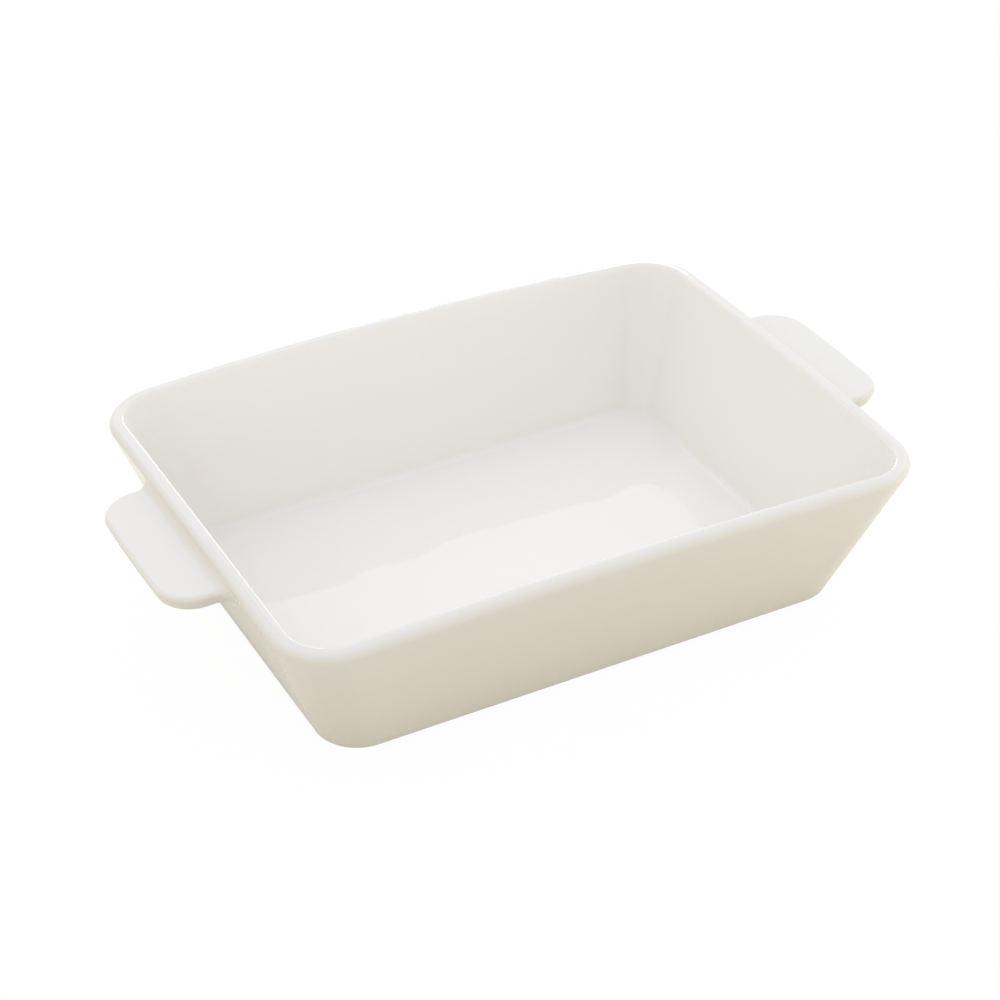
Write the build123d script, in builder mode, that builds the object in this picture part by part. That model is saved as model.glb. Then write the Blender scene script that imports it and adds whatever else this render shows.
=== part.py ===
from build123d import *
from math import asin, cos, hypot, radians, sin
import os

# Lasagna dish of cream glazed stoneware, in millimetres
# The origin is on the ground under the middle of the dish
# X runs along the dish towards the right handle, Y runs across it and Z is up

# Plan of the walls, over their outside, at the rim corners and at the underside of the floor
rim_length = 300.0
rim_width = 224.5
base_length = 247.5
base_width = 172.0

# Heights above the ground
foot_height = 1.5
floor_thickness = 7.0
rim_corner_height = 72.5

# The top of the rim is cut to a very shallow dome, so that the long sides stand highest
rim_dome_radius = 2500.0

# Clay thickness, measured level, and the roundings of the dish
wall_at_floor = 9.0
wall_at_rim = 8.0
corner_radius = 25.0
rim_outer_radius = 3.2
rim_inner_radius = 2.0
floor_fillet_radius = 6.0
base_edge_radius = 2.0

# Unglazed ring that the dish stands on
foot_inset = 4.0
foot_ring_width = 6.0
foot_edge_chamfer = 0.6

# Tab handles on the two short walls, round above and broken below
handle_top_height = 68.1
handle_slope = 1.7
handle_reach = 23.5
handle_nose_bow = 1.3
handle_width = 85.0
handle_thickness = 7.4
handle_corner_radius = 16.5
handle_root_radius = 8.0
handle_edge_radius = 3.4
handle_under_chamfer = 2.2

# How far the root of a handle runs into the wall before it is trimmed to it
handle_key_depth = 20.0
handle_key_inset = 0.3

# How far a cutting shape runs past what it cuts, and how far the rounding of a lip stands off wall and dome
overrun = 5.0
lip_clearance = 0.04

def plan_at(height):
    """Give the length and width over the walls at a height."""
    share = (height - foot_height) / (rim_corner_height - foot_height)
    return base_length + (rim_length - base_length) * share, base_width + (rim_width - base_width) * share

def leaning_form(low, low_inset, high, high_inset, radius):
    """Make a block whose four flat sides stand inside the outer walls by a level inset at each of its two ends."""
    with BuildPart() as form:
        for plane, side, mode in ((Plane.XZ, 0, Mode.ADD), (Plane.YZ, 1, Mode.INTERSECT)):
            low_half = plan_at(low)[side] / 2 - low_inset
            high_half = plan_at(high)[side] / 2 - high_inset
            with BuildSketch(plane):
                Polygon((-low_half, low), (low_half, low), (high_half, high), (-high_half, high), align=None)
            extrude(amount=rim_length, both=True, mode=mode)
        fillet(form.edges().filter_by(Plane.XY, reverse=True), radius)
    return form.part

def lip_section(rim, share, wall, dome, radius):
    """Draw what a rounding takes off a sharp rim, at a share of its length and square to it, with X out of the clay."""
    at = rim.position_at(share)
    wall_out = wall.normal_at(at)
    dome_out = dome.normal_at(at)
    turn = wall_out.get_angle(dome_out)
    centre = (lip_clearance - radius / cos(radians(turn / 2)), 0)
    plane = Plane(origin=at, x_dir=wall_out + dome_out, z_dir=rim.tangent_at(share))
    with BuildSketch(plane, mode=Mode.PRIVATE) as section:
        with BuildLine():
            lip = CenterArc(centre, radius, -turn / 2, turn)
            clear = CenterArc(centre, radius + overrun, -turn / 2, turn)
            Line(lip @ 0, clear @ 0)
            Line(lip @ 1, clear @ 1)
        make_face()
    return section.sketch

# The dome passes through the middle of each rim corner
floor_height = foot_height + floor_thickness
corner_cut = corner_radius * (1 - cos(radians(45)))
corner_reach = hypot(rim_length / 2 - corner_cut, rim_width / 2 - corner_cut)
dome_centre_height = rim_corner_height - rim_dome_radius * cos(asin(corner_reach / rim_dome_radius))
blank_height = dome_centre_height + rim_dome_radius + overrun

# Outer form of the dish, and the form of its hollow, up through the top
wall_taper = (wall_at_floor - wall_at_rim) / (rim_corner_height - floor_height)
wall_at_blank = wall_at_rim - wall_taper * (blank_height - rim_corner_height)
outer_form = leaning_form(foot_height, 0, blank_height, 0, corner_radius)
hollow_form = leaning_form(floor_height, wall_at_floor, blank_height, wall_at_blank, corner_radius - wall_at_rim)

# Dish body: the floor and the four walls, pressed as one piece of clay under a domed rim
with BuildPart() as dish_body:
    add(outer_form)
    add(hollow_form, mode=Mode.SUBTRACT)
    with Locations((0, 0, dome_centre_height)):
        Sphere(rim_dome_radius, rotation=(0, 90, 0), mode=Mode.INTERSECT)

    # Soft lip, full on the outside, where walls face down, and tighter on the inside, where they face up
    # It is one true ring along each flat wall, and a sweep that follows the change of lean round each corner
    top = dish_body.faces().filter_by(GeomType.SPHERE)[0]
    walls = dish_body.faces().filter_by(Plane.XY, reverse=True).filter_by(GeomType.SPHERE, reverse=True)
    for wall in walls:
        rim = wall.edges().sort_by(Axis.Z)[-1]
        radius = rim_outer_radius if wall.normal_at().Z < 0 else rim_inner_radius
        stations = (0,) if wall.geom_type == GeomType.PLANE else (0, 1 / 2, 1)
        sections = [lip_section(rim, station, wall, top, radius) for station in stations]
        sweep(sections, path=rim, multisection=len(sections) > 1, mode=Mode.SUBTRACT)

    # Sweep of the cooking floor into the walls, and the softened edge under the dish
    levels = dish_body.faces().filter_by(Plane.XY).sort_by(Axis.Z)
    fillet(levels[-1].edges(), floor_fillet_radius)
    levels = dish_body.faces().filter_by(Plane.XY).sort_by(Axis.Z)
    fillet(levels[0].edges(), base_edge_radius)

# Foot ring: bare clay, set in from the edge of the base and ground flat
foot_length = base_length - 2 * foot_inset
foot_width = base_width - 2 * foot_inset
foot_corner_radius = corner_radius - foot_inset
with BuildPart() as foot_ring:
    with BuildSketch():
        RectangleRounded(foot_length, foot_width, foot_corner_radius)
        RectangleRounded(
            foot_length - 2 * foot_ring_width,
            foot_width - 2 * foot_ring_width,
            foot_corner_radius - foot_ring_width,
            mode=Mode.SUBTRACT,
        )
    extrude(amount=foot_height)
    chamfer(foot_ring.edges().group_by(Axis.Z)[0], foot_edge_chamfer)

# Right handle: a flat tab, wider at its root, that falls slightly towards its nose
wall_x = plan_at(handle_top_height)[0] / 2
tab_depth = rim_length / 2 + handle_reach - wall_x
tab_half = handle_width / 2
key_half = tab_half + handle_root_radius + overrun
handle_plane = Plane(
    origin=(wall_x, 0, handle_top_height),
    x_dir=(cos(radians(handle_slope)), 0, -sin(radians(handle_slope))),
    z_dir=(sin(radians(handle_slope)), 0, cos(radians(handle_slope))),
)
with BuildPart() as handle_right:
    with BuildSketch(handle_plane) as tab:
        with BuildLine():
            ThreePointArc((tab_depth, -tab_half), (tab_depth + handle_nose_bow, 0), (tab_depth, tab_half))
            Polyline(
                (tab_depth, tab_half),
                (-handle_key_inset, tab_half),
                (-handle_key_inset, key_half),
                (-handle_key_depth, key_half),
                (-handle_key_depth, -key_half),
                (-handle_key_inset, -key_half),
                (-handle_key_inset, -tab_half),
                (tab_depth, -tab_half),
            )
        make_face()
        fillet(tab.vertices().group_by(Axis.X)[-1], handle_corner_radius)
        fillet(tab.vertices().group_by(Axis.X)[1].sort_by(Axis.Y)[1:3], handle_root_radius)
    extrude(amount=-handle_thickness)

    # Round the tab above and break its edge below, all the way to the wall
    under_face, *_, top_face = handle_right.faces().sort_by(Axis.Z)
    fillet(top_face.edges().filter_by(lambda edge: edge.center().X > wall_x - overrun), handle_edge_radius)
    chamfer(under_face.edges().filter_by(lambda edge: edge.center().X > wall_x - overrun), handle_under_chamfer)

    # Trim the root to the wall it sits against
    add(outer_form, mode=Mode.SUBTRACT)

# Left handle: the same tab on the other short wall
with BuildPart() as handle_left:
    add(mirror(handle_right.part, about=Plane.YZ, mode=Mode.PRIVATE))

pieces = {
    "dish_body": dish_body,
    "foot_ring": foot_ring,
    "handle_right": handle_right,
    "handle_left": handle_left,
}
os.makedirs("parts", exist_ok=True)
for name, piece in pieces.items():
    piece.part.label = name
    export_step(piece.part, f"parts/{name}.step")
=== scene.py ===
from math import asin, atan, cos, hypot, pi, radians, sin, sqrt, tan

import bmesh
import bpy
import numpy as np
from mathutils import Matrix, Vector


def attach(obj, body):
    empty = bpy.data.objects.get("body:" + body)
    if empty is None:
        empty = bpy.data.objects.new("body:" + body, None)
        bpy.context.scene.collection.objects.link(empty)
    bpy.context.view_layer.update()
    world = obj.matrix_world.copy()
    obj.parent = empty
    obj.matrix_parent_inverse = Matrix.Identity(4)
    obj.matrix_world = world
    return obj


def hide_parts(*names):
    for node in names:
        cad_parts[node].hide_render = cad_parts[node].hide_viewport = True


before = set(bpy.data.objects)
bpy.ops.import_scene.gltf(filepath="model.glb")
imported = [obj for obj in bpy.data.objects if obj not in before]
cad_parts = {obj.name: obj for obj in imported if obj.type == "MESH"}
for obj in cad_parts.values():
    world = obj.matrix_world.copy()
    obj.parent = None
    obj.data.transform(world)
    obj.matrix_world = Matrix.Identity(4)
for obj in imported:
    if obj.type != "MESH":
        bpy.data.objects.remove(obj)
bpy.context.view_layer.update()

# Lasagna dish of cream glazed stoneware on its bare foot
# Shapes are worked out in millimetres, in the frame of the CAD model, and put into the meshes in metres
MM = 0.001

# Plan of the walls, over their outside
RIM_LENGTH, RIM_WIDTH, RIM_CORNER = 300.0, 224.5, 26.5
BASE_LENGTH, BASE_WIDTH, BASE_CORNER = 247.5, 172.0, 19.5

# Heights above the ground, clay thickness and roundings
FOOT_HEIGHT, FLOOR_HEIGHT, RIM_HEIGHT = 1.5, 8.5, 72.5
DOME_RADIUS = 2500.0
WALL_AT_FLOOR, WALL_AT_RIM = 9.0, 8.0
LIP_OUTSIDE, LIP_INSIDE = 3.2, 2.0
FLOOR_SWEEP, BASE_EDGE = 4.0, 2.0

# Waves of the uneven floor: radians per millimetre along and across the dish, phase, and size in millimetres
FLOOR_WAVES = (
    (0.031, 0.022, 0.4, 0.100),
    (-0.024, 0.047, 1.9, 0.080),
    (0.058, -0.033, 3.1, 0.055),
    (0.075, 0.064, 5.0, 0.035),
    (0.170, 0.090, 2.2, 0.020),
    (-0.110, 0.190, 0.7, 0.018),
    (0.230, -0.050, 4.1, 0.012),
    (0.120, 0.310, 1.1, 0.008),
)

# Twist of the left end of the floor, as a slope, and how far from the middle it is full
FLOOR_TWIST, TWIST_REACH = 0.02, 100.0

# Power by which the unevenness dies away towards the edge of the floor
FLOOR_CALM = 4

# Foot ring of bare clay: inset, width, rounded edge and how far it runs into the base
FOOT_INSET, FOOT_WIDTH, FOOT_EDGE, FOOT_SUNK = 4.0, 6.0, 0.6, 0.3

# Tab handles: a sharp-edged plan, then the roundings of its edge and of its root
TAB_TOP, TAB_SLOPE, TAB_THICKNESS = 68.1, 1.7, 7.4
TAB_REACH, TAB_HALF, TAB_CORNER, TAB_BOW = 24.4, 43.4, 16.8, 1.3
TAB_EDGE_ABOVE, TAB_EDGE_BELOW = 2.0, 3.0
ROOT_ABOVE, ROOT_SIDE, ROOT_UNDER = 5.5, 8.0, 3.5

# How far inside the wall the root of a tab is closed
ROOT_SUNK = 1.0

# The crown is painted light: a paler, more neutral colour on the top of the rim and on the top faces of the
# tabs
# Powers by which it fades down the outer lip, down the inner lip, round the edge of a tab and up its root
CROWN_OUTSIDE, CROWN_INSIDE, CROWN_EDGE, CROWN_ROOT = 3, 4, 2, 4

# How finely the dish is divided: stations round its plan, steps of its section, and rings of its flat faces
CORNER_STATIONS, LONG_STATIONS, SHORT_STATIONS = 28, 84, 60
BASE_STEPS, LIP_STEPS, INNER_LIP_STEPS, SWEEP_STEPS = 9, 17, 11, 15
WALL_STEPS, TOP_STEPS, FOOT_STEPS = 22, 3, 7
UNDER_RINGS = (0.0, 0.25, 0.5, 0.75, 0.9)
FLOOR_RINGS, FLOOR_CROWDING = 36, 1.15

# How finely the tabs are divided, and the share of a straight side that its rows at the root may take up
TAB_STEPS_ABOVE, TAB_STEPS_BELOW = 15, 11
ROOT_STEPS, TAB_CORNER_STEPS, NOSE_STEPS, FACE_STEPS = 25, 17, 31, 9
ROOT_SHARE = 0.97

# Rounds in which a rim point settles on the dome, and the distances within which points merge, in metres
SETTLING_ROUNDS = 6
MERGE, TAB_MERGE = 1e-6, 2e-6

# Values that follow from the others: the dome passes through the middle of each rim corner
CORNER_CUT = RIM_CORNER * (1 - sqrt(0.5))
CORNER_REACH = hypot(RIM_LENGTH / 2 - CORNER_CUT, RIM_WIDTH / 2 - CORNER_CUT)
DOME_CENTRE = RIM_HEIGHT - DOME_RADIUS * cos(asin(CORNER_REACH / DOME_RADIUS))
DRAFT = atan((RIM_LENGTH - BASE_LENGTH) / 2 / (RIM_HEIGHT - FOOT_HEIGHT))

# How far up the wall a tab stands, its length from the wall line to its sharp nose, where the wall line is,
# where its straight sides end, and the fall of its top face
TAB_LEVEL = (TAB_TOP - FOOT_HEIGHT) / (RIM_HEIGHT - FOOT_HEIGHT)
TAB_LENGTH = (RIM_LENGTH / 2 + TAB_REACH) - (BASE_LENGTH + (RIM_LENGTH - BASE_LENGTH) * TAB_LEVEL) / 2
TAB_WALL = RIM_LENGTH / 2 + TAB_REACH - TAB_LENGTH
TAB_SIDE_END = TAB_LENGTH - TAB_CORNER
TAB_FALL = radians(TAB_SLOPE)


# Shape helpers

def share_of_wall(height):
    """Give how far up the wall a height lies, from 0 at its foot to 1 at the rim corners."""
    return (height - FOOT_HEIGHT) / (RIM_HEIGHT - FOOT_HEIGHT)


def plan_stations():
    """Give each station round the dish: the share of the straight sides it has reached, and its normal.

    On either axis of a rounded rectangle, a station lies at share x (half length - radius) + normal x radius.
    """
    corner = np.linspace(0, pi / 2, CORNER_STATIONS, endpoint=False)
    long_side = np.linspace(-1, 1, LONG_STATIONS, endpoint=False)
    short_side = np.linspace(-1, 1, SHORT_STATIONS, endpoint=False)
    share, normal = [], []
    for turn in range(4):
        facing = turn * pi / 2
        side = short_side if turn % 2 == 0 else long_side
        across = np.array((cos(facing), sin(facing)))
        along = np.array((-sin(facing), cos(facing)))
        share.append(across + side[:, None] * along)
        normal.append(np.broadcast_to(across, (len(side), 2)))
        share.append(np.broadcast_to(across + along, (len(corner), 2)))
        normal.append(np.stack((np.cos(facing + corner), np.sin(facing + corner)), -1))
    return np.concatenate(share), np.concatenate(normal)


def wall_point(share, normal, height):
    """Give the level place of the outer wall at a height.

    Its half length, half width and corner radius grow evenly from the base to the rim.
    """
    up = share_of_wall(height)
    radius = BASE_CORNER + (RIM_CORNER - BASE_CORNER) * up
    half_x = (BASE_LENGTH + (RIM_LENGTH - BASE_LENGTH) * up) / 2
    half_y = (BASE_WIDTH + (RIM_WIDTH - BASE_WIDTH) * up) / 2
    straight = np.stack((half_x - radius, half_y - radius), -1)
    return share * straight + normal * radius[..., None]


def rounding(corner, toward_a, toward_b, radius, steps):
    """Give the arc that is tangent to two lines leaving a corner, from the first line to the second.

    The centre lies on the bisector at radius / sin(half the angle), and the arc turns evenly from one tangent
    point to the other.
    """
    half = np.arccos(np.clip((toward_a * toward_b).sum(-1), -1, 1)) / 2
    bisector = toward_a + toward_b
    bisector = bisector / np.linalg.norm(bisector, axis=-1, keepdims=True)
    centre = corner + bisector * (radius / np.sin(half))[..., None]
    tangent = (radius / np.tan(half))[..., None]
    spoke_a = corner + toward_a * tangent - centre
    spoke_b = corner + toward_b * tangent - centre
    turn = (pi - 2 * half)[..., None, None]
    at = np.linspace(0, 1, steps)[:, None]
    spokes = np.sin((1 - at) * turn) * spoke_a[..., None, :] + np.sin(at * turn) * spoke_b[..., None, :]
    return centre[..., None, :] + spokes / np.sin(turn)


def between(start, end, steps):
    """Give points on the straight line from one place to another, without its two ends."""
    at = np.linspace(0, 1, steps + 2)[1:-1, None]
    return start[..., None, :] * (1 - at) + end[..., None, :] * at


def grid_faces(rows, columns, wrap=False):
    """Give the quads of a grid of points, row after row, and back to its first row where it wraps."""
    row = np.arange(rows if wrap else rows - 1)[:, None] * columns
    following = (row + columns) % (rows * columns)
    column = np.arange(columns - 1)[None, :]
    quads = (row + column, following + column, following + column + 1, row + column + 1)
    return np.stack(np.broadcast_arrays(*quads), -1).reshape(-1, 4)


def make_piece(name, points, faces, values, merge=MERGE):
    """Make a smooth mesh of points in millimetres, with its seams merged and its faces turned outwards."""
    mesh = bpy.data.meshes.new(name)
    mesh.from_pydata((np.asarray(points) * MM).tolist(), [], np.asarray(faces).tolist())
    for key, value in values.items():
        layer = mesh.attributes.new(key, "FLOAT", "POINT")
        layer.data.foreach_set("value", np.ascontiguousarray(value, dtype=np.float32))
    work = bmesh.new()
    work.from_mesh(mesh)
    bmesh.ops.remove_doubles(work, verts=work.verts, dist=merge)
    bmesh.ops.recalc_face_normals(work, faces=work.faces)
    work.to_mesh(mesh)
    work.free()
    mesh.shade_smooth()
    piece = bpy.data.objects.new(name, mesh)
    bpy.context.scene.collection.objects.link(piece)
    return piece


def hand_waver(x, y):
    """Give the unevenness of a pressed and glazed floor, in millimetres.

    Sine waves of falling length are added up. The twist adds a slope across the dish, which grows with the
    square of the distance to the left of the middle.
    """
    ripple = sum(size * np.sin(along * x + across * y + phase) for along, across, phase, size in FLOOR_WAVES)
    twist = -FLOOR_TWIST * y * np.clip(-x / TWIST_REACH, 0, 1) ** 2
    return ripple + twist


# The dish

def dish_section(share, normal):
    """Work out the section of the dish at each station, as places out and up from the sharp edge of the rim.

    The outer wall is a straight line with the lean of its station. The top follows the dome. The inner wall
    stands inside the outer one by a thickness that changes evenly with height.
    """
    edge_height = np.full(len(share), RIM_HEIGHT)
    for _ in range(SETTLING_ROUNDS):
        place = wall_point(share, normal, edge_height)
        edge_height = DOME_CENTRE + np.sqrt(DOME_RADIUS**2 - (place**2).sum(-1))
    low = wall_point(share, normal, np.full(len(share), FOOT_HEIGHT))
    high = wall_point(share, normal, np.full(len(share), RIM_HEIGHT))
    lean = ((high - low) * normal).sum(-1) / (RIM_HEIGHT - FOOT_HEIGHT)
    fall = -(place * normal).sum(-1) / (edge_height - DOME_CENTRE)
    thinning = (WALL_AT_RIM - WALL_AT_FLOOR) / (RIM_HEIGHT - FLOOR_HEIGHT)
    wall_here = WALL_AT_FLOOR + thinning * (edge_height - FLOOR_HEIGHT)

    def unit(out, up):
        line = np.stack(np.broadcast_arrays(out, up), -1).astype(float)
        return line / np.linalg.norm(line, axis=-1, keepdims=True)

    down_outer = unit(-lean, -np.ones_like(lean))
    down_inner = unit(-(lean - thinning), -np.ones_like(lean))
    inward = unit(-np.ones_like(fall), -fall)
    level = unit(-np.ones_like(fall), np.zeros_like(fall))

    base = np.stack((lean * (FOOT_HEIGHT - edge_height), FOOT_HEIGHT - edge_height), -1)
    rim_outer = np.zeros((len(share), 2))
    across = -wall_here / (1 - (lean - thinning) * fall)
    rim_inner = np.stack((across, fall * across), -1)
    drop = FLOOR_HEIGHT - edge_height
    floor_foot = np.stack(((lean - thinning) * drop - wall_here, drop), -1)

    base_arc = rounding(base, level, -down_outer, BASE_EDGE, BASE_STEPS)
    outer_arc = rounding(rim_outer, down_outer, inward, LIP_OUTSIDE, LIP_STEPS)
    inner_arc = rounding(rim_inner, -inward, down_inner, LIP_INSIDE, INNER_LIP_STEPS)
    floor_arc = rounding(floor_foot, -down_inner, level, FLOOR_SWEEP, SWEEP_STEPS)
    outer_wall = between(base_arc[:, -1], outer_arc[:, 0], WALL_STEPS)
    top = between(outer_arc[:, -1], inner_arc[:, 0], TOP_STEPS)
    inner_wall = between(inner_arc[:, -1], floor_arc[:, 0], WALL_STEPS)
    runs = (base_arc, outer_wall, outer_arc, top, inner_arc, inner_wall, floor_arc)
    outside = np.repeat((1.0, 1.0, 1.0, 0.0, 0.0, 0.0, 0.0), [run.shape[1] for run in runs])
    # Painted light on the crown: full across the top, fading down the outer and inner lips
    crown_painted_light = np.concatenate((
        np.zeros(BASE_STEPS + WALL_STEPS),
        np.sin(np.linspace(0, pi / 2, LIP_STEPS)) ** CROWN_OUTSIDE,
        np.ones(TOP_STEPS),
        np.cos(np.linspace(0, pi / 2, INNER_LIP_STEPS)) ** CROWN_INSIDE,
        np.zeros(WALL_STEPS + SWEEP_STEPS),
    ))
    return np.concatenate(runs, 1), outside, crown_painted_light, lean, edge_height


def make_dish():
    """Carry the section round the dish, and draw its first and last ring in to the middle.

    Each section point keeps its distance in from the leaning outer wall at its own height. The rings of the
    underside and the floor are the ring beside them times a share between 1 and 0. Each ring of the floor is
    also raised by hand_waver x (1 - share to the power FLOOR_CALM).
    """
    share, normal = plan_stations()
    section, outside, crown_painted_light, lean, edge_height = dish_section(share, normal)
    height = section[..., 1] + edge_height[:, None]
    inset = lean[:, None] * section[..., 1] - section[..., 0]
    level = wall_point(share[:, None], normal[:, None], height) - normal[:, None] * inset[..., None]
    under_share = np.array(UNDER_RINGS)
    floor_share = 1 - np.linspace(0, 1, FLOOR_RINGS + 1)[1:] ** FLOOR_CROWDING
    under = level[:, :1] * under_share[:, None]
    floor = level[:, -1:] * floor_share[:, None]
    settle = (1 - floor_share**FLOOR_CALM) * hand_waver(floor[..., 0], floor[..., 1])
    level = np.concatenate((under, level, floor), 1)
    rise = np.concatenate((np.full(under.shape[:2], FOOT_HEIGHT), height, FLOOR_HEIGHT + settle), 1)
    rise[:, -1] = rise[:, -1].mean()
    points = np.concatenate((level, rise[..., None]), -1)

    def tone(below, on_section, above):
        rings = (np.full(len(under_share), below), on_section, np.full(len(floor_share), above))
        return np.broadcast_to(np.concatenate(rings), points.shape[:2]).reshape(-1)

    # Masks for the glaze: the outside gets painted shade, and the crown and the level floor get painted light
    flatness = np.concatenate((np.zeros(len(crown_painted_light) - SWEEP_STEPS), np.linspace(0, 1, SWEEP_STEPS)))
    tones = {
        "outer": tone(1.0, outside, 0.0),
        "crown_painted_light": tone(0.0, crown_painted_light, 0.0),
        "level": tone(0.0, flatness, 1.0),
    }
    faces = grid_faces(points.shape[0], points.shape[1], wrap=True)
    return make_piece("glazed_dish", points.reshape(-1, 3), faces, tones)


def make_foot():
    """Carry the section of the foot ring round the base: an upright band with two rounded ground edges."""
    share, normal = plan_stations()
    turn = np.linspace(0, pi / 2, FOOT_STEPS)
    arc = np.stack((np.cos(turn), np.sin(turn)), -1) * FOOT_EDGE
    top = FOOT_HEIGHT + FOOT_SUNK
    section = np.concatenate((
        ((FOOT_WIDTH, top), (0.0, top)),
        np.stack((FOOT_EDGE - arc[:, 0], FOOT_EDGE - arc[:, 1]), -1),
        np.stack((FOOT_WIDTH - FOOT_EDGE + arc[::-1, 0], FOOT_EDGE - arc[::-1, 1]), -1),
        ((FOOT_WIDTH, top),),
    ))
    radius = BASE_CORNER - FOOT_INSET
    straight = np.array((BASE_LENGTH / 2 - FOOT_INSET - radius, BASE_WIDTH / 2 - FOOT_INSET - radius))
    level = share[:, None] * straight + normal[:, None] * (radius - section[:, :1])
    rise = np.broadcast_to(section[:, 1], level.shape[:2])
    points = np.concatenate((level, rise[..., None]), -1)
    faces = grid_faces(points.shape[0], points.shape[1], wrap=True)
    return make_piece("clay_foot", points.reshape(-1, 3), faces, {})


# The handles

def root_flare(off_wall, radius):
    """Give how far the clay swells at a distance off the wall, to meet the wall in a quarter circle."""
    gap = np.clip(radius - np.maximum(off_wall, 0), 0, radius)
    return radius - np.sqrt(np.maximum(radius**2 - gap**2, 0))


def tab_edge_section():
    """Give the rounded edge of a tab from its top face to its under face, and which way each point faces.

    A point is its place in from the sharp outline and its height. The side leans in by the draft of the
    walls, so the upper rounding turns further than the lower one.
    """
    side = np.array((sin(DRAFT), -cos(DRAFT)))
    foot = np.array((TAB_THICKNESS * tan(DRAFT), -TAB_THICKNESS))
    inward = np.array((1.0, 0.0))
    upper = rounding(np.zeros((1, 2)), inward[None], side[None], TAB_EDGE_ABOVE, TAB_STEPS_ABOVE)[0]
    lower = rounding(foot[None], -side[None], inward[None], TAB_EDGE_BELOW, TAB_STEPS_BELOW)[0]
    turn_upper = np.linspace(pi / 2, -DRAFT, len(upper))
    turn_lower = np.linspace(-DRAFT, -pi / 2, len(lower))
    turn = np.concatenate((turn_upper, turn_lower))
    return np.concatenate((upper, lower)), np.stack((np.cos(turn), np.sin(turn)), -1)


def tab_path(inset):
    """Give the run round the tab at a distance in from its sharp outline, as places out and across.

    It goes out along one side, round the nose in two quarter circles and a straight line, and back along the
    other side. The stations of a side crowd towards the wall, as the quarter circle of the root needs. The
    third result is how many they are.
    """
    leg = ROOT_SIDE * (1 - np.cos(np.linspace(0, pi / 2, ROOT_STEPS)))
    leg = np.concatenate((leg[leg < TAB_SIDE_END * ROOT_SHARE], (TAB_SIDE_END,)))
    turn = np.linspace(0, pi / 2, TAB_CORNER_STEPS)[1:]
    nose = np.linspace(0, 1, NOSE_STEPS)[1:-1]
    radius = TAB_CORNER - inset
    half = TAB_HALF - TAB_CORNER
    out = np.concatenate((
        leg,
        TAB_SIDE_END + radius * np.sin(turn),
        np.full(len(nose), TAB_SIDE_END + radius),
        TAB_SIDE_END + radius * np.sin(turn[::-1]),
        leg[::-1],
    ))
    across = np.concatenate((
        np.full(len(leg), half + radius),
        half + radius * np.cos(turn),
        half - 2 * half * nose,
        -half - radius * np.cos(turn[::-1]),
        np.full(len(leg), -half - radius),
    ))
    return out, across, len(leg)


def lip_centre(across):
    """Give the centre of the rounded lip above the tab, out and up from where its top face meets the wall."""
    edge_x, edge_z = RIM_LENGTH / 2, RIM_HEIGHT
    for _ in range(SETTLING_ROUNDS):
        edge_z = DOME_CENTRE + np.sqrt(DOME_RADIUS**2 - edge_x**2 - across**2)
        edge_x = RIM_LENGTH / 2 + tan(DRAFT) * (edge_z - RIM_HEIGHT)
    fall = edge_x / (edge_z - DOME_CENTRE)
    down = np.broadcast_to((-sin(DRAFT), -cos(DRAFT)), fall.shape + (2,))
    inward = np.stack((-np.ones_like(fall), fall), -1) / np.sqrt(1 + fall**2)[..., None]
    half = np.arccos((down * inward).sum(-1)) / 2
    bisector = down + inward
    bisector = bisector / np.linalg.norm(bisector, axis=-1, keepdims=True)
    x = edge_x - TAB_WALL + bisector[..., 0] * LIP_OUTSIDE / np.sin(half)
    z = edge_z - TAB_TOP + bisector[..., 1] * LIP_OUTSIDE / np.sin(half)
    return x * cos(TAB_FALL) - z * sin(TAB_FALL), x * sin(TAB_FALL) + z * cos(TAB_FALL)


def root_sweep(out, across):
    """Give the shift out and up that sweeps the top face into the lip, in a hollow arc that touches both.

    The arc's centre is one arc radius above the face, and one arc radius and one lip radius from the centre
    of the lip. The third result is how level the arc lies, from 1 on the face towards 0 where it is upright.
    """
    lip_out, lip_up = lip_centre(across)
    reach = np.sqrt((LIP_OUTSIDE + ROOT_ABOVE) ** 2 - (ROOT_ABOVE - lip_up) ** 2)
    end = lip_out + reach
    whole = np.arctan2(reach, ROOT_ABOVE - lip_up)
    turned = whole * np.clip(1 - out / end, 0, 1)
    shift_out = np.where(out < end, end - ROOT_ABOVE * np.sin(turned) - out, 0)
    return shift_out, ROOT_ABOVE * (1 - np.cos(turned)), np.cos(turned)


def lay_tab(out, across, up, face):
    """Bring tab places to the frame of the dish, bow the nose, and swell the root out to the wall.

    A place lies at the wall line + out x the top face's fall line + up x its normal. Near the wall it is
    pushed sideways by the side flare, up into the lip and down along the wall, each times how far it faces
    that way.
    """
    along = np.clip(out / TAB_SIDE_END, 0, 1)
    out = out + tan(DRAFT - TAB_FALL) * up * (1 - along)
    toward_nose = np.clip((out - TAB_SIDE_END) / TAB_CORNER, 0, 1) ** 2
    out = out + TAB_BOW * (1 - (across / TAB_HALF) ** 2) * toward_nose
    shift_out, shift_up, _ = root_sweep(out, across)
    above = np.maximum(face[..., 1], 0)
    out, up = out + shift_out * above, up + shift_up * above
    x = TAB_WALL + out * cos(TAB_FALL) + up * sin(TAB_FALL)
    z = TAB_TOP - out * sin(TAB_FALL) + up * cos(TAB_FALL)
    off_wall = (x - TAB_WALL) * cos(DRAFT) - (z - TAB_TOP) * sin(DRAFT)
    rise = root_flare(off_wall, ROOT_UNDER) * np.minimum(face[..., 1], 0)
    y = across + root_flare(off_wall, ROOT_SIDE) * face[..., 0] * np.sign(across)
    return np.stack((x + rise * sin(DRAFT), y, z + rise * cos(DRAFT)), -1)


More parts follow.
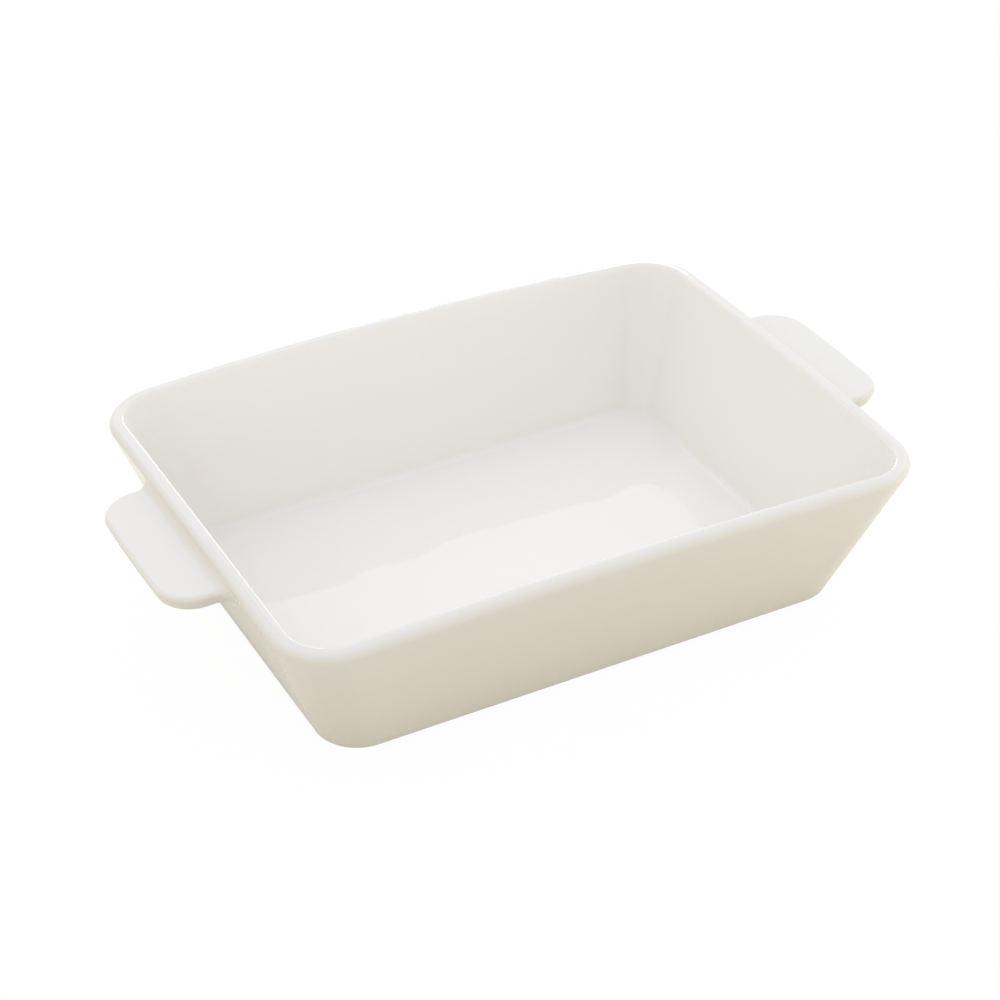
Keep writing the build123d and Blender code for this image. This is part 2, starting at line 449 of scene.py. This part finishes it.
def tab_face(inset, up, facing):
    """Fill a flat face of the tab with a grid, and give how level each place of it lies before it is laid.

    Its rows run straight across at the root, and then bend evenly to the line of the nose.
    """
    out, across, leg = tab_path(inset)
    nose = slice(leg - 1, len(out) - leg + 1)
    ring = np.stack((out[nose], across[nose]), -1)[None]
    level = np.linspace(1, -1, ring.shape[1]) * (TAB_HALF - inset)
    rows = np.stack(np.broadcast_arrays(out[:leg, None], level[None]), -1)
    blend = np.linspace(0, 1, FACE_STEPS)[1:, None, None]
    plan = np.concatenate((rows, rows[-1:] * (1 - blend) + ring * blend))
    face = np.zeros(plan.shape)
    face[..., 1] = facing
    levelness = root_sweep(plan[..., 0], plan[..., 1])[2]
    return lay_tab(plan[..., 0], plan[..., 1], np.full(plan.shape[:2], up), face), levelness


def make_handle(name, mirrored):
    """Join the rounded edge, carried round the outline, to the two flat faces, and close the root.

    The left handle is the right one with its places across the length of the dish changed in sign.
    """
    section, face = tab_edge_section()
    runs = [tab_path(inset) for inset in section[:, 0]]
    out = np.stack([run[0] for run in runs], 1)
    across = np.stack([run[1] for run in runs], 1)
    up = np.broadcast_to(section[:, 1], out.shape)
    edge = lay_tab(out, across, up, np.broadcast_to(face, out.shape + (2,)))
    top, levelness = tab_face(section[0, 0], up=0.0, facing=1.0)
    under, _ = tab_face(section[-1, 0], up=-TAB_THICKNESS, facing=-1.0)

    # The loop at the wall, and the same loop inside the clay of the dish, drawn to one point
    loop = np.concatenate((top[0][::-1], edge[0], under[0], edge[-1][::-1]))
    into = np.array((-cos(DRAFT), 0.0, sin(DRAFT))) * ROOT_SUNK
    sunk = np.stack((loop, loop + into, np.broadcast_to((loop + into).mean(0), loop.shape)), 1)

    # Painted light on the crown of a tab: full on its top face, fading round its edge and up its root
    edge_painted_light = np.clip(face[:, 1], 0, 1) ** CROWN_EDGE * root_sweep(out, across)[2] ** CROWN_ROOT
    grids = (
        (edge, edge_painted_light, False),
        (top, levelness**CROWN_ROOT, False),
        (under, np.zeros(under.shape[:2]), False),
        (sunk, np.zeros(sunk.shape[:2]), True),
    )
    points, faces, crown_painted_light, start = [], [], [], 0
    for grid, value, wrap in grids:
        points.append(grid.reshape(-1, 3))
        crown_painted_light.append(value.reshape(-1))
        faces.append(grid_faces(grid.shape[0], grid.shape[1], wrap=wrap) + start)
        start += grid.shape[0] * grid.shape[1]
    points, crown_painted_light = np.concatenate(points), np.concatenate(crown_painted_light)
    if mirrored:
        points = points * (-1, 1, 1)
    tones = {"outer": np.ones(len(crown_painted_light)), "crown_painted_light": crown_painted_light, "level": np.zeros(len(crown_painted_light))}
    return make_piece(name, points, np.concatenate(faces), tones, merge=TAB_MERGE)


# Shader helpers

# Places of the share, the two colours and the mixed colour among the sockets of a Mix node
MIX_SHARE, MIX_FIRST, MIX_SECOND, MIX_RESULT = 0, 6, 7, 2


class Value:
    """A number socket of a material: an operator on it adds the Math node that works the result out."""

    def __init__(self, recipe, socket):
        self.recipe, self.socket = recipe, socket

    def worked(self, kind, first, second):
        return self.recipe.node("ShaderNodeMath", {0: first, 1: second}, operation=kind).value("Value")

    def __add__(self, other):
        return self.worked("ADD", self, other)

    def __radd__(self, other):
        return self.worked("ADD", other, self)

    def __sub__(self, other):
        return self.worked("SUBTRACT", self, other)

    def __rsub__(self, other):
        return self.worked("SUBTRACT", other, self)

    def __mul__(self, other):
        return self.worked("MULTIPLY", self, other)

    def __rmul__(self, other):
        return self.worked("MULTIPLY", other, self)

    def __truediv__(self, other):
        return self.worked("DIVIDE", self, other)

    def clamped(self):
        return self.recipe.node("ShaderNodeClamp", {"Value": self}).value("Result")


class Step:
    """One node of a material, whose outputs are asked for by name."""

    def __init__(self, recipe, node):
        self.recipe, self.made = recipe, node

    def value(self, name):
        return Value(self.recipe, self.made.outputs[name])

    def out(self, name):
        return self.made.outputs[name]


class Recipe:
    """The nodes of one material or world, added one after another."""

    def __init__(self, owner):
        owner.use_nodes = True
        self.owner, self.tree = owner, owner.node_tree
        self.tree.nodes.clear()

    def fill(self, socket, value):
        """Link a socket to a value or to an output, or give it a plain number or colour."""
        if isinstance(value, Value):
            value = value.socket
        if isinstance(value, bpy.types.NodeSocket):
            self.tree.links.new(value, socket)
        else:
            socket.default_value = value

    def node(self, kind, sockets=None, **settings):
        """Add a node, make its settings, and then fill its sockets."""
        made = self.tree.nodes.new(kind)
        for key, value in settings.items():
            setattr(made, key, value)
        for key, value in (sockets or {}).items():
            self.fill(made.inputs[key], value)
        return Step(self, made)

    def place(self):
        return self.node("ShaderNodeTexCoord").out("Object")

    def noise(self, place, scale, detail, rough=0.5):
        sockets = {"Vector": place, "Scale": scale, "Detail": detail, "Roughness": rough}
        return self.node("ShaderNodeTexNoise", sockets).value("Fac")

    def blend(self, share, first, second):
        """Mix two colours by a share from 0 to 1."""
        mix = self.node("ShaderNodeMix", data_type="RGBA").made
        self.fill(mix.inputs[MIX_SHARE], share)
        self.fill(mix.inputs[MIX_FIRST], first)
        self.fill(mix.inputs[MIX_SECOND], second)
        return mix.outputs[MIX_RESULT]

    def attribute(self, name):
        return self.node("ShaderNodeAttribute", attribute_name=name).value("Fac")

    def bump(self, height, distance, strength, normal=None):
        """Tilt the surface by a height, on top of the tilt that an earlier bump gave it."""
        sockets = {"Height": height, "Distance": distance, "Strength": strength}
        if normal is not None:
            sockets["Normal"] = normal
        return self.node("ShaderNodeBump", sockets).out("Normal")

    def diffuse(self, colour):
        return self.node("ShaderNodeBsdfDiffuse", {"Color": colour}).out("BSDF")

    def glow(self, strength):
        return self.node("ShaderNodeEmission", {"Color": WHITE, "Strength": strength}).out("Emission")

    def both(self, first, second):
        return self.node("ShaderNodeAddShader", {0: first, 1: second}).out("Shader")

    def either(self, share, first, second):
        return self.node("ShaderNodeMixShader", {0: share, 1: first, 2: second}).out("Shader")

    def surface(self, shader, kind="ShaderNodeOutputMaterial"):
        self.node(kind, {"Surface": shader})
        return self.owner


def shade(red, green, blue):
    """Give an opaque colour from its linear red, green and blue."""
    return red, green, blue, 1.0


WHITE = shade(1.0, 1.0, 1.0)


# Finishes

# Colours of the glaze: the inner walls, what they drift to and their painted light low down, and the level
# floor with painted light
INNER_WALL, INNER_DRIFT = shade(0.868, 0.846, 0.796), shade(0.882, 0.862, 0.814)
INNER_LOW_PAINTED_LIGHT, LEVEL_FLOOR_PAINTED_LIGHT = shade(0.916, 0.896, 0.856), shade(0.910, 0.908, 0.900)

# The outer walls high up and low down, in painted shade, the crown in painted light, and the faint clouds
# over everything
OUTER_HIGH_PAINTED_SHADE, OUTER_LOW_PAINTED_SHADE = shade(0.775, 0.720, 0.620), shade(0.748, 0.687, 0.560)
PAINTED_CROWN_LIGHT, CLOUD = shade(0.804, 0.798, 0.784), shade(0.860, 0.850, 0.825)
CLOUD_START, CLOUD_SHARE = 0.35, 0.10

# Gloss of the glaze, how far it drifts, and how much calmer the slow swell of the glaze is outside
GLAZE_ROUGHNESS, GLAZE_ROUGHNESS_DRIFT, GLAZE_IOR = 0.008, 0.014, 1.55
OUTER_CALM = 0.6

# Colours of the bare clay, the sharpness and depth of its grains, and its roughness
CLAY, CLAY_WORN, CLAY_GRAIN = shade(0.70, 0.62, 0.52), shade(0.76, 0.70, 0.61), shade(0.42, 0.34, 0.26)
GRAIN_SHARPNESS, GRAIN_DEPTH = 4.5, 0.3
CLAY_ROUGHNESS, CLAY_ROUGHNESS_DRIFT, CLAY_IOR = 0.78, 0.14, 1.45


def cream_glaze():
    """Glossy cream glaze with slow drifts of colour.

    Painted light makes it palest on the level floor, low on the inner walls and on the crown; painted shade
    makes it darker and warmer outside, most of all near the foot.
    """
    made = Recipe(bpy.data.materials.new("cream_glaze"))
    place = made.place()
    outer, crown_painted_light, level = (made.attribute(name) for name in ("outer", "crown_painted_light", "level"))
    height = made.node("ShaderNodeSeparateXYZ", {"Vector": place}).value("Z")
    low = (1 - height / (RIM_HEIGHT * MM)).clamped()
    drift = made.noise(place, scale=14.0, detail=3.0)
    cloud = made.noise(place, scale=55.0, detail=2.0)
    walls = made.blend(drift, INNER_WALL, INNER_DRIFT)
    # Painted light: the inner walls grow paler low down, to lift the shade there
    walls = made.blend(low, walls, INNER_LOW_PAINTED_LIGHT)
    # Painted light: the level floor paler and more neutral, as it faces up into the light
    inside = made.blend(level, walls, LEVEL_FLOOR_PAINTED_LIGHT)
    # Painted shade: the outer walls darker and warmer than inside, most of all near the foot
    outside = made.blend(low, OUTER_HIGH_PAINTED_SHADE, OUTER_LOW_PAINTED_SHADE)
    colour = made.blend(outer, inside, outside)
    # Painted light: the crown paler and more neutral, as it faces up into the light
    colour = made.blend(crown_painted_light, colour, PAINTED_CROWN_LIGHT)
    colour = made.blend((cloud - CLOUD_START) * CLOUD_SHARE, colour, CLOUD)
    roughness = GLAZE_ROUGHNESS + GLAZE_ROUGHNESS_DRIFT * made.noise(place, scale=90.0, detail=3.0)
    swell = made.noise(place, scale=30.0, detail=1.0) * (1 - OUTER_CALM * outer)
    slow = made.bump(swell, distance=0.00030, strength=1.0)
    pores = made.noise(place, scale=260.0, detail=2.0)
    skin = made.bump(pores, distance=0.000012, strength=0.6, normal=slow)
    sockets = {"Base Color": colour, "Roughness": roughness, "IOR": GLAZE_IOR, "Normal": skin}
    return made.surface(made.node("ShaderNodeBsdfPrincipled", sockets).out("BSDF"))


def bare_stoneware():
    """Unglazed fired clay of the foot: matt and sandy, with darker grains and paler worn patches."""
    made = Recipe(bpy.data.materials.new("bare_stoneware"))
    place = made.place()
    grain = made.noise(place, scale=900.0, detail=4.0, rough=0.6)
    patch = made.noise(place, scale=60.0, detail=3.0)
    specks = made.node("ShaderNodeTexVoronoi", {"Vector": place, "Scale": 700.0}).value("Distance")
    speck = (1 - specks * GRAIN_SHARPNESS).clamped()
    colour = made.blend(patch, CLAY, CLAY_WORN)
    colour = made.blend(speck * grain, colour, CLAY_GRAIN)
    roughness = CLAY_ROUGHNESS + CLAY_ROUGHNESS_DRIFT * grain
    skin = made.bump(grain + specks * GRAIN_DEPTH, distance=0.0002, strength=0.7)
    sockets = {"Base Color": colour, "Roughness": roughness, "IOR": CLAY_IOR, "Normal": skin}
    return made.surface(made.node("ShaderNodeBsdfPrincipled", sockets).out("BSDF"))


# Studio

# Light of the surroundings, and how much of the dish's shadow the camera sees on the floor
LIGHT_LEVEL, SHADOW_SHARE = 0.93, 0.04

# Floor of the studio, in metres: its side and how far it lies below the dish
FLOOR_SIDE, FLOOR_DROP = 12.0, 0.0002

# The floor as it lights the dish, and as the glaze mirrors it, tinted warm as painted bounce light, with a
# glow of its own
FLOOR_PALE = shade(0.80, 0.80, 0.80)
MIRRORED_FLOOR_PAINTED_BOUNCE, MIRRORED_GLOW = shade(0.76, 0.73, 0.64), 0.25

# Azimuth and elevation of each lamp in degrees, its distance, width and height in metres, its radiance, and
# whether the glaze mirrors it
LAMPS = {
    "backdrop_lamp": (152.0, 32.0, 2.2, 3.4, 1.2, 0.36, True),
    "rim_lamp": (152.0, 18.0, 0.75, 0.30, 0.16, 2.2, True),
    "side_lamp": (-90.0, 28.0, 2.2, 2.4, 1.4, 0.22, False),
    "front_lamp": (60.0, 5.0, 0.75, 0.55, 0.12, 3.6, False),
}


def toward(turn, rise):
    """Give the direction at an azimuth, turned from the front, and an elevation, both in radians."""
    return Vector((sin(turn) * cos(rise), -cos(turn) * cos(rise), sin(rise)))


def studio_world():
    """Even surroundings that light the dish, and are plain white where the camera or the glaze sees them."""
    world = bpy.data.worlds.new("studio")
    bpy.context.scene.world = world
    made = Recipe(world)
    path = made.node("ShaderNodeLightPath")
    seen = path.value("Is Camera Ray") + path.value("Is Glossy Ray") + path.value("Is Transmission Ray")
    level = LIGHT_LEVEL + (1 - LIGHT_LEVEL) * seen.clamped()
    light = made.node("ShaderNodeBackground", {"Color": WHITE, "Strength": level}).out("Background")
    made.surface(light, "ShaderNodeOutputWorld")


def studio_floor():
    """A wide pale floor, pure white to the camera but for a faint shadow.

    The glaze mirrors it in a warmer tone, painted bounce light from the dish, with its full shadow and a
    slight glow.
    """
    bpy.ops.mesh.primitive_plane_add(size=FLOOR_SIDE, location=(0.0, 0.0, -FLOOR_DROP))
    floor = bpy.context.active_object
    floor.name = "studio_floor"
    made = Recipe(bpy.data.materials.new("studio_floor"))
    path = made.node("ShaderNodeLightPath")
    mirrored = (path.value("Is Glossy Ray") + path.value("Is Transmission Ray")).clamped()
    # Painted bounce light: the floor that the glaze mirrors is tinted warm
    in_glaze = made.both(made.diffuse(MIRRORED_FLOOR_PAINTED_BOUNCE), made.glow(MIRRORED_GLOW))
    unseen = made.either(mirrored, made.diffuse(FLOOR_PALE), in_glaze)
    shadow = made.diffuse(shade(SHADOW_SHARE, SHADOW_SHARE, SHADOW_SHARE))
    pictured = made.both(shadow, made.glow(1 - SHADOW_SHARE * LIGHT_LEVEL))
    floor.data.materials.append(made.surface(made.either(path.value("Is Camera Ray"), unseen, pictured)))


def soft_lamp(name, azimuth, elevation, distance, width, height, radiance, mirrored):
    """Add a soft lamp that faces the dish, as bright to look at as its radiance says."""
    lamp = bpy.data.lights.new(name, "AREA")
    lamp.shape = "RECTANGLE"
    lamp.size, lamp.size_y = width, height
    lamp.energy = radiance * pi * width * height
    stand = bpy.data.objects.new(name, lamp)
    bpy.context.scene.collection.objects.link(stand)
    away = toward(radians(azimuth), radians(elevation))
    stand.location = away * distance
    stand.rotation_mode = "QUATERNION"
    stand.rotation_quaternion = (-away).to_track_quat("-Z", "Y")
    stand.visible_camera = False
    stand.visible_glossy = mirrored


# Camera, as the dish was photographed

# Angles in radians, the focal length in pixels of a square picture and that picture's side
CAMERA_TURN, CAMERA_RISE, CAMERA_ROLL = -0.48633046, 0.59301123, -0.00564027
CAMERA_FOCUS, PICTURE_SIDE = 2523.373, 1000.0

# Distance from the aim, and the aim: a height above the origin, moved sideways and up in the picture
CAMERA_DISTANCE = 1121.046
AIM_SIDEWAYS, AIM_UP, AIM_HEIGHT = -2.1096, 5.6018, 31.5

# Width of the sensor in millimetres, and the nearest and farthest distance pictured in metres
SENSOR_WIDTH = 36.0
NEAREST, FARTHEST = 0.05, 60.0


def make_camera():
    """Stand the camera back from its aim along its own line of sight."""
    back = toward(CAMERA_TURN, CAMERA_RISE)
    right = Vector((cos(CAMERA_TURN), sin(CAMERA_TURN), 0.0))
    up = back.cross(right)
    place = back * CAMERA_DISTANCE + right * AIM_SIDEWAYS + up * AIM_UP + Vector((0.0, 0.0, AIM_HEIGHT))
    tilted_right = right * cos(CAMERA_ROLL) + up * sin(CAMERA_ROLL)
    tilted_up = up * cos(CAMERA_ROLL) - right * sin(CAMERA_ROLL)
    lens = bpy.data.cameras.new("camera")
    lens.sensor_width = SENSOR_WIDTH
    lens.lens = CAMERA_FOCUS / PICTURE_SIDE * SENSOR_WIDTH
    lens.clip_start, lens.clip_end = NEAREST, FARTHEST
    camera = bpy.data.objects.new("camera", lens)
    bpy.context.scene.collection.objects.link(camera)
    axes = Matrix((tilted_right, tilted_up, back)).transposed().to_4x4()
    camera.matrix_world = Matrix.Translation(place * MM) @ axes
    bpy.context.scene.camera = camera


# Putting it together

make_camera()
studio_world()
studio_floor()
for name, values in LAMPS.items():
    soft_lamp(name, *values)

glaze = cream_glaze()
clay = bare_stoneware()
pieces = (
    (make_dish(), "dish_body", "cream_glaze", glaze),
    (make_handle("glazed_handle_right", mirrored=False), "handle_right", "cream_glaze", glaze),
    (make_handle("glazed_handle_left", mirrored=True), "handle_left", "cream_glaze", glaze),
    (make_foot(), "foot_ring", "bare_stoneware", clay),
)
for piece, node, slot, finish in pieces:
    piece.data.materials.append(finish)
    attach(piece, "root")
    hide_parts(node)

bpy.context.scene.view_settings.view_transform = "Standard"
